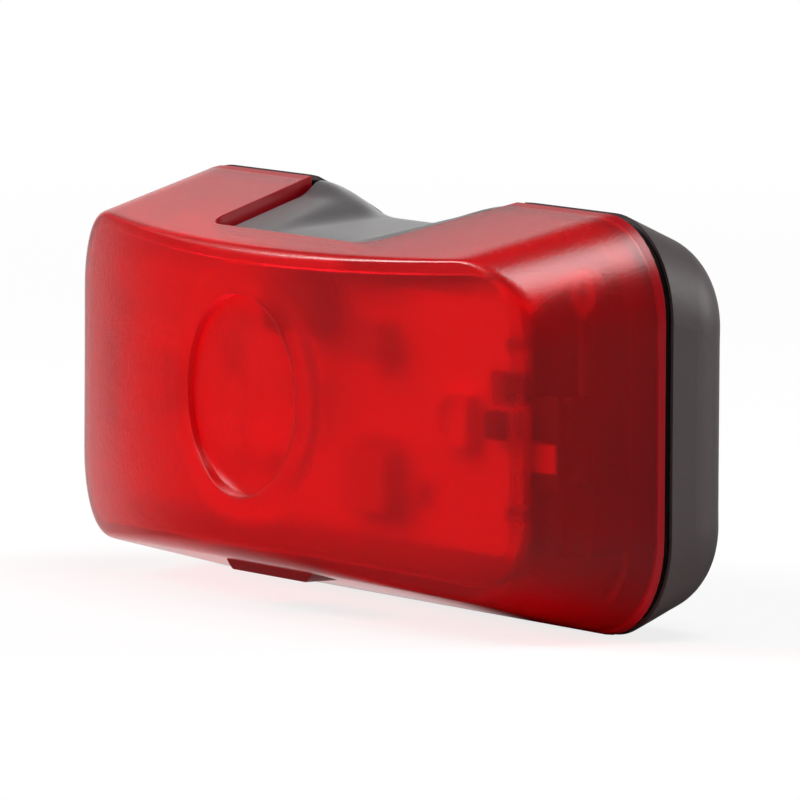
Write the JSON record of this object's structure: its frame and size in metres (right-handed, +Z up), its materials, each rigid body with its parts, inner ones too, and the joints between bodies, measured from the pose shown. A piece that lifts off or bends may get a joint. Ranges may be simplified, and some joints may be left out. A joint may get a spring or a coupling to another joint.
{
  "type": "bicycle tail light",
  "caption": "Rounded red lens with scooped thumb switch on a grey case, cells and lit board inside, sprung strap clip behind.",
  "frame": {"origin": "middle of the case's flat back, which the clip stands on", "axes": "+X along the light's long side, +Y out of the back towards what it is clipped to, +Z up to the thumb pad; the lens looks along -Y"},
  "size_m": [0.059, 0.0248, 0.027],
  "materials": {
    "red_lens": "translucent, frosted outside",
    "grey_case": "fine matte",
    "grey_rubber": "matte",
    "black_seal": "smooth",
    "white_board": "white solder mask",
    "led_package": "smooth",
    "black_package": "moulded",
    "capacitor_tan": "ceramic",
    "switch_black": "moulded",
    "switch_brown": "moulded",
    "black_cradle": "fine matte",
    "cell_can": "bare can",
    "plated_sheet": "nickel plated",
    "spring_steel": "bright wire"
  },
  "bodies": {
    "case": {"rear_case": "grey_case", "seal_gasket": "black_seal", "circuit_board": "white_board", "led_left": "led_package", "led_centre": "led_package", "led_right": "led_package", "edge_diode": "black_package", "driver_chip": "black_package", "resistors": "black_package", "capacitor": "capacitor_tan", "switch_body": "switch_black", "battery_cradle": "black_cradle", "cell_upper": "cell_can", "cell_lower": "cell_can", "contact_plus": "plated_sheet", "contact_minus": "plated_sheet", "contact_link": "plated_sheet", "spring_upper": "spring_steel", "spring_lower": "spring_steel", "cradle_screws": "plated_sheet", "clip_spring": "spring_steel", "grip_pad": "grey_rubber"},
    "lens": {"lens": "red_lens"},
    "pad": {"push_pad": "grey_rubber"},
    "plunger": {"switch_plunger": "switch_brown"},
    "clip": {"clip_lever": "grey_case", "clip_pin": "spring_steel"}
  },
  "joints": [
    {"name": "lens_pull", "type": "slide", "parent": "case", "child": "lens", "axis": [0, -1, 0], "range_m": [0, 0.014]},
    {"name": "pad_press", "type": "slide", "parent": "case", "child": "pad", "axis": [0, 0, -1], "range_m": [0, 0.0004], "stiffness_N_per_m": 2000},
    {"name": "plunger_press", "type": "slide", "parent": "case", "child": "plunger", "axis": [0, 0, -1], "range_m": [0, 0.00036]},
    {"name": "clip_hinge", "type": "hinge", "parent": "case", "child": "clip", "pos_m": [0, 0.0023, 0.0056], "axis": [1, 0, 0], "range_deg": [0, 22], "stiffness_Nm_per_rad": 0.15, "deforming": ["clip_spring"]}
  ],
  "couplings": [
    {"joint": "plunger_press", "follows": "pad_press", "ratio": 0.9}
  ]
}
